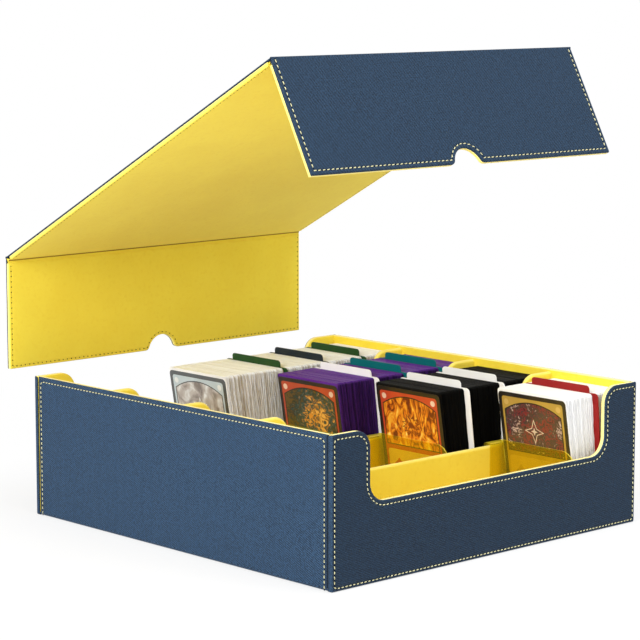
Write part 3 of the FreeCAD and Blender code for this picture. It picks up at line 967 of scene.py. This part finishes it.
def cloth_fold(name, first, second, replaced):
    """Cover and lining over a fold, closed at both ends, between the two panels.

    The cover runs round the pivot from one panel's outer face to the next one's. The lining
    dips between the inner corners of the two panels, and its middle rows take a dark crease
    finish, painted shade in the bottom of the crease.
    """
    a, b = LID_PLANES[first], LID_PLANES[second]
    fold = b.origin
    a_along = -a.up if first == "lid_top" else a.up
    inward = -(a.out + b.out).normalized()
    shares = [i / 10 for i in range(11)]
    outer = [fold + a_along * COVER_START + a.out * FOLD_TO_OUTSIDE]
    outer += [fold + a.out.slerp(b.out, t) * FOLD_TO_OUTSIDE for t in shares]
    outer.append(fold + b.up * COVER_START + b.out * FOLD_TO_OUTSIDE)
    seat = SLAB_START + FOLD_OVERLAP
    level = FOLD_OVERLAY - FOLD_TO_INSIDE
    left = fold + a_along * seat + a.out * level
    right = fold + b.up * seat + b.out * level
    sunk = fold + inward * FOLD_DIP
    inner = [left.lerp(sunk, t).lerp(sunk.lerp(right, t), t) for t in shares]
    turned = LID_TURN - FOLD_TO_OUTSIDE
    between = [fold + a_along * COVER_START - a.out * turned, fold + inward * turned,
               fold + b.up * COVER_START - b.out * turned]
    mesh = Mesh()
    outer_rows = []
    inner_rows = []
    stations = 9
    cover_slot, lining_slot, shade_slot = range(3)
    for k in range(stations):
        shift = Vector((LID_HALF * (2 * k / (stations - 1) - 1), 0, 0))
        spread = [(shift.x, (p - fold).dot(b.up - a_along)) for p in outer]
        outer_rows.append(mesh.row([p + shift for p in outer], spread))
        inner_rows.append(mesh.row([p + shift for p in inner]))
        if k in (0, stations - 1):
            seam = mesh.row([p + shift for p in between])
            caps = [(outer_rows[-1] + seam[::-1], cover_slot), (seam + inner_rows[-1][::-1], lining_slot)]
            for corners, slot in caps:
                mesh.face(corners[::-1] if k else corners, slot)
    mesh.skin(outer_rows, slot=cover_slot)
    # The middle rows of the lining take the painted crease shade.
    for low, high, slot in ((0, 4, lining_slot), (4, 6, shade_slot), (6, 10, lining_slot)):
        mesh.skin([row[low:high + 1] for row in inner_rows[::-1]], slot=slot)
    made = mesh.piece(name, None, ["lid_cover", "lining", "crease_shade"], [replaced], sharp=80)
    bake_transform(made)


def dress_lid():
    for name in LID_PLANES:
        dress_lid_panel(name)
    cloth_fold("back_fold_cloth", "back_flap", "lid_top", "back_fold")
    cloth_fold("front_fold_cloth", "lid_top", "front_flap", "front_fold")


# ---------- cards

# By row: the sleeve, how far cards differ in tint, partly their own tone and partly painted shade
# between them, how much more painted shade their side edges get, how far cards stand below the
# tallest, and how far their side edges wave
Deck = namedtuple("Deck", "sleeve tint side_tint drop flutter")
DECKS = {
    1: Deck("sleeve_cream", 0.85, 0.0, 0.16 * MM, 0.32 * MM),
    2: Deck("sleeve_purple", 0.7, 0.6, 0.3 * MM, 0.2 * MM),
    3: Deck("sleeve_black", 0.6, 0.6, 0.3 * MM, 0.16 * MM),
    4: Deck("sleeve_white", 0.5, 0.0, 0.16 * MM, 0.26 * MM),
}

# A sleeve: share of its tint at its head, where less painted shade leaves the tops lighter than the
# sides, size of its cut corners, where across it its welded side edge begins, half that edge's
# thickness against the card's, and the radians of the edge's two waves over its height. A card is
# narrower than its deck by the room that an uneven stand needs.
HEAD_SHADE_SHARE = 0.12
SLEEVE_CUT = 1.2 * MM
WELD_START = 0.94
WELD_HALF = 0.22
SLOW_WAVE = 21
FAST_WAVE = 47
SIDE_ROOM = 0.8 * MM

# How cards stand: the greatest drop against the row's, in mm the farthest that cards drift to a
# side, the drift from card to card and a card's own shift, and its thickness against the pitch
GREATEST_DROP = 0.8
GREATEST_DRIFT = 0.4
DRIFT_STEP = 0.2
OWN_SHIFT = 0.25
THICKNESS_SHARE = 0.97


def deck_ends(node):
    """Front and rear of a deck at its foot and head, their heights, and its middle and width in y."""
    side_low, side_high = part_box(node)
    points = [v.co for v in NODES[node].data.vertices]
    low = min(p.z for p in points)
    high = max(p.z for p in points)
    near = 0.05 * MM
    foot = [p.x for p in points if p.z < low + near]
    head = [p.x for p in points if p.z > high - near]
    across = ((side_low.y + side_high.y) / 2, side_high.y - side_low.y)
    return (min(foot), min(head)), (max(foot), max(head)), (low, high), *across


def sleeved_card(mesh, deck, middle_y, width, heights, foot_x, head_x, thickness):
    """One sleeve with its card: flat in the middle, its welded side edges thin and wavy."""
    low, high = heights
    tall = high - low
    steps = 20
    cut = SLEEVE_CUT / tall
    levels = [0, cut] + [i / steps for i in range(1, steps)] + [1 - cut, 1]
    phase = [random.uniform(0, 2 * math.pi) for _ in range(4)]
    pace = random.uniform(0.8, 1.25)
    tint = mesh.tint
    grids = ([], [])
    for level in levels:
        x = foot_x + (head_x - foot_x) * level
        z = low + tall * level
        for side, grid in zip((-1, 1), grids):
            line = []
            first = len(mesh.tints)
            for across in (-1.0, -WELD_START, WELD_START, 1.0):
                edge = abs(across) == 1
                inset = SLEEVE_CUT if edge and level in (0, 1) else 0
                half = thickness * (WELD_HALF if edge else 0.5)
                half *= 0.9 if level == 1 else 1.0
                bend = 0.0
                if edge:
                    slow, fast = (phase[0], phase[2]) if across < 0 else (phase[1], phase[3])
                    wave = math.sin(slow + SLOW_WAVE * pace * level)
                    wave += 0.7 * math.sin(fast + FAST_WAVE * pace * level)
                    bend = deck.flutter * wave
                line.append((x + bend + side * half, middle_y + across * (width / 2 - inset), z))
            grid.append(mesh.row(line))
            for k in range(4):
                # Side edges take more painted shade than the faces, and heads only a share of it.
                own = tint + deck.side_tint if k in (0, 3) else tint
                mesh.tints[first + k] = min(1.0, own) if level < 1 else HEAD_SHADE_SHARE * tint
    front, rear = grids
    mesh.skin(front)
    mesh.skin([row[::-1] for row in rear])
    for column in (0, -1):
        pair = [[row[column] for row in front], [row[column] for row in rear]]
        mesh.skin(pair if column else pair[::-1])
    mesh.bridge(front[0], rear[0])
    mesh.bridge(rear[-1], front[-1])


def dress_deck(node):
    """Sleeved cards standing on edge in place of a deck's solid."""
    deck = DECKS[int(node.split("_")[1])]
    front, rear, heights, middle_y, width = deck_ends(node)
    count = round((rear[1] - front[1]) / CARD_PITCH)
    pitch = (rear[0] - front[0]) / count
    mesh = Mesh()
    drift = 0.0
    for i in range(count):
        share = (i + 0.5) / count
        foot_x = front[0] + (rear[0] - front[0]) * share
        head_x = front[1] + (rear[1] - front[1]) * share
        mesh.tint = deck.tint * random.random() ** 2
        drop = min(GREATEST_DROP, abs(random.gauss(0, 1))) * deck.drop
        drift += random.uniform(-DRIFT_STEP, DRIFT_STEP)
        drift = max(-GREATEST_DRIFT, min(GREATEST_DRIFT, drift))
        shift = (drift + random.uniform(-OWN_SHIFT, OWN_SHIFT)) * MM
        sleeved_card(mesh, deck, middle_y + shift, width - SIDE_ROOM, (heights[0], heights[1] - drop),
                     foot_x, head_x, THICKNESS_SHARE * pitch)
    name = node.replace("deck", "cards")
    mesh.piece(name, name, [deck.sleeve], [node], sharp=30)


def rounded(half_width, low, high, radius):
    foot = corner(-half_width, low, radius, 2, 4) + corner(half_width, low, radius, 3, 4)
    return foot + corner(half_width, high, radius, 0, 4) + corner(-half_width, high, radius, 1, 4)


def arched(half_width, low, spring, rise):
    """Window with a low arch on top."""
    radius = (half_width ** 2 + rise ** 2) / (2 * rise)
    sweep = math.degrees(math.asin(half_width / radius))
    top = arc((0, spring + rise - radius), radius, 90 - sweep, 90 + sweep, 14)
    return [(-half_width, low), (half_width, low)] + top


def star(centre, points, outer, inner):
    made = []
    for i in range(2 * points):
        reach = inner if i % 2 else outer
        angle = math.pi * i / points + math.pi / 2
        made.append((centre[0] + reach * math.cos(angle), centre[1] + reach * math.sin(angle)))
    return made


FACE_INSET = 1.1 * MM
FACE_HEIGHT = 88 * MM
FACE_THICKNESS = 0.3 * MM
PRINT_LAYER = 0.04 * MM

# Card faces: colours of the border, frame, plaque and ink, the motif's points with the share of
# its inner radius, and the picture's pattern with the stops of its colours
Face = namedtuple("Face", "border frame plaque ink motif pattern stops")
FACES = {
    1: Face((0.055, 0.062, 0.066), (0.52, 0.62, 0.68), (0.78, 0.82, 0.84), (0.82, 0.85, 0.86), (6, 0.45),
            "mist", [(0.3, (0.17, 0.14, 0.12)), (0.5, (0.42, 0.38, 0.36)), (0.68, (0.74, 0.77, 0.8))]),
    2: Face((0.022, 0.018, 0.016), (0.52, 0.075, 0.03), (0.85, 0.6, 0.46), (0.75, 0.3, 0.03), (9, 0.5),
            "glow", [(0.02, (0.8, 0.42, 0.08)), (0.2, (0.3, 0.11, 0.012)), (0.36, (0.04, 0.09, 0.08)),
                     (0.6, (0.016, 0.03, 0.02)), (0.85, (0.12, 0.07, 0.012))]),
    3: Face((0.022, 0.018, 0.012), (0.6, 0.07, 0.025), (0.88, 0.62, 0.48), (0.22, 0.035, 0.008), (14, 0.62),
            "blaze", [(0.1, (0.16, 0.02, 0.005)), (0.34, (0.75, 0.2, 0.01)), (0.55, (0.95, 0.5, 0.04)),
                      (0.8, (1.0, 0.82, 0.3))]),
    4: Face((0.018, 0.014, 0.012), (0.5, 0.32, 0.06), (0.62, 0.42, 0.12), (0.72, 0.6, 0.48), (4, 0.38),
            "marble", [(0.2, (0.03, 0.012, 0.018)), (0.34, (0.3, 0.03, 0.03)),
                       (0.44, (0.05, 0.03, 0.045)), (0.56, (0.07, 0.045, 0.03)),
                       (0.68, (0.05, 0.014, 0.022)), (0.85, (0.62, 0.46, 0.4))]),
}


def face_card(row):
    """The picture side of a row's first card: an arched abstract picture over a plain plaque.

    The prints lie on the card one layer over the other, in the card's own frame: u across it and
    v up it from the foot of the deck.
    """
    node = "deck_%d_1" % row
    front, rear, heights, middle_y, width = deck_ends(node)
    foot = Vector((front[0], middle_y, heights[0]))
    head = Vector((front[1], middle_y, heights[1]))
    up = (head - foot).normalized()
    out = Vector((-up.z, 0, up.x))
    plane = Plane(foot, up, out)
    look = FACES[row]
    label = "face_%d_" % row
    prints = zip(("border", "frame", "plaque", "ink"), (look.border, look.frame, look.plaque, look.ink))
    finishes = [print_material(label + part, colour(*tone)) for part, tone in prints]
    finishes.append(picture_material(label + "picture", look.pattern, look.stops))
    border, frame_print, plaque, ink, picture = range(5)
    half = width / 2 - FACE_INSET
    low = SLEEVE_CUT
    high = low + FACE_HEIGHT
    mesh = Mesh()

    def printed(points, layer, slot):
        level = FACE_THICKNESS + layer * PRINT_LAYER
        mesh.face(mesh.row([plane.at(u, v, level) for u, v in points], points), slot)

    body = rounded(half, low, high, 3 * MM)
    base = mesh.row([plane.at(u, v, 0) for u, v in body], body)
    face = mesh.row([plane.at(u, v, FACE_THICKNESS) for u, v in body], body)
    mesh.bridge(face, base, closed=True)
    mesh.face(face)
    mesh.face(base[::-1])
    printed(rounded(half - 3 * MM, low + 3 * MM, high - 3 * MM, 2 * MM), 1, frame_print)
    printed(arched(half - 4.7 * MM, low + 45.2 * MM, high - 12.6 * MM, 7.4 * MM), 2, border)
    printed(arched(half - 5.5 * MM, low + 46 * MM, high - 13 * MM, 7 * MM), 3, picture)
    points, ratio = look.motif
    centre = (0.0, low + 62 * MM)
    for layer, (radius, slot) in enumerate(((9 * MM, ink), (7.4 * MM, picture), (3 * MM, ink)), 4):
        printed(star(centre, points, radius, radius * ratio), layer, slot)
    for side in (-1, 1):
        printed(arc((side * (half - 7 * MM), high - 7 * MM), 2.2 * MM, 0, 330, 11), 2, plaque)
    printed(rounded(half - 5 * MM, low + 6 * MM, low + 42 * MM, 2.5 * MM), 2, plaque)
    for u in (-16 * MM, 0.0, 16 * MM):
        for v in (15 * MM, 31 * MM):
            printed(star((u, low + v), 4, 5 * MM, 3.2 * MM), 3, frame_print)
    mesh.piece("face_card_%d" % row, "cards_%d_1" % row, finishes, sharp=20)


# ---------- finishes of the CAD nodes that stay

def finish_nodes():
    """Gives every CAD node its material, and the dividers a softened edge."""
    slots = {part["node"]: part["material_slot"] for part in frame["record"]["subparts"]}
    for node, made in NODES.items():
        made.data.materials.clear()
        made.data.materials.append(MATERIALS[slots[node]])
        if slots[node].startswith("divider"):
            soften = made.modifiers.new("soft_edge", "BEVEL")
            soften.width = 0.12 * MM
            soften.segments = 2
            soften.limit_method = "ANGLE"
            soften.angle_limit = math.radians(40)


# ---------- set, light and camera

def seen_white(s):
    """1 for the rays by which the camera, gloss and glass look, and 0 for the rays that light."""
    rays = s.node("LightPath").outputs
    looks = s.math("MAXIMUM", rays["Is Camera Ray"], rays["Is Glossy Ray"])
    return s.math("MAXIMUM", looks, rays["Is Transmission Ray"])


def backdrop_material():
    """Pale matt floor that the camera, gloss and glass see as white, but for the object's soft shadow."""
    s = Shader("pale_floor")
    base = s.mix(s.span(s.noise(30, 2), 0.3, 0.7, 0, 0.2), colour(0.86, 0.86, 0.86), colour(0.9, 0.9, 0.9))
    matt = s.node("BsdfDiffuse", {"Color": base}).outputs[0]
    glow = s.node("Emission", {"Color": colour(1, 1, 1), "Strength": 1.0}).outputs[0]
    away = s.node("VectorMath", {0: s.place()}, operation="LENGTH").outputs["Value"]
    share = s.math("MULTIPLY", seen_white(s), s.span(away, 0.2, 0.6, 0.75, 1.0))
    return s.show(s.node("MixShader", {0: share, 1: matt, 2: glow}).outputs[0])


def build_stage():
    floor = Mesh()
    reach = 6.0
    level = -0.3 * MM
    floor.face(floor.row([(-reach, -reach, level), (reach, -reach, level),
                          (reach, reach, level), (-reach, reach, level)]))
    made = floor.piece("floor", None, [backdrop_material()])


def build_world(level):
    """Even light of this level all round, and plain white where the object isn't."""
    s = Shader("studio", "World")
    light = s.node("Background", {"Color": colour(1, 1, 1), "Strength": level}).outputs[0]
    white = s.node("Background", {"Color": colour(1, 1, 1), "Strength": 1.0}).outputs[0]
    bpy.context.scene.world = s.show(s.node("MixShader", {0: seen_white(s), 1: light, 2: white}).outputs[0])


def aimed(name, data, place, direction):
    """Puts a lamp or a camera in the scene, looking along a direction."""
    made = bpy.data.objects.new(name, data)
    bpy.context.scene.collection.objects.link(made)
    made.location = place
    made.rotation_mode = "QUATERNION"
    made.rotation_quaternion = direction.to_track_quat("-Z", "Y")
    return made


def area_light(name, place, size, power):
    """Round soft lamp that shines on the middle of the box; power in watts."""
    data = bpy.data.lights.new(name, "AREA")
    data.shape = "DISK"
    data.size = size
    data.energy = power
    aimed(name, data, place, Vector(LIT_MIDDLE) - Vector(place))


LIT_MIDDLE = (0, 0, 0.1)
CAMERA_AZIMUTH = math.radians(-43.077)
CAMERA_ELEVATION = math.radians(8.176)
CAMERA_PLACE = (-1.1603, -1.2273, 0.3831)
CAMERA_LENS = 138.06


def build_lights():
    build_world(0.46)
    area_light("key", (-2.1, -0.6, 1.1), 1.4, 45)
    area_light("front_fill", (0.3, -2.1, 1.2), 1.6, 9)
    area_light("top", (0.1, -0.6, 2.4), 1.8, 35)


def build_camera():
    """Camera of the photograph, solved from the corners of the box."""
    data = bpy.data.cameras.new("camera")
    data.sensor_width = 36
    data.lens = CAMERA_LENS
    data.clip_start = 0.05
    data.clip_end = 50
    level = math.cos(CAMERA_ELEVATION)
    direction = Vector((-math.sin(CAMERA_AZIMUTH) * level, math.cos(CAMERA_AZIMUTH) * level,
                        -math.sin(CAMERA_ELEVATION)))
    bpy.context.scene.camera = aimed("camera", data, CAMERA_PLACE, direction)


# ---------- build

finish_nodes()
dress_scooped_panel("front", -1)
dress_scooped_panel("back", 1)
dress_wrap()
for number in (1, 2, 3):
    dress_partition("partition_%d" % number)
dress_lid()
for node in sorted(NODES):
    if node.startswith("deck"):
        dress_deck(node)
for row in DECKS:
    face_card(row)
build_stage()
build_lights()
build_camera()
bpy.context.scene.view_settings.view_transform = "Standard"
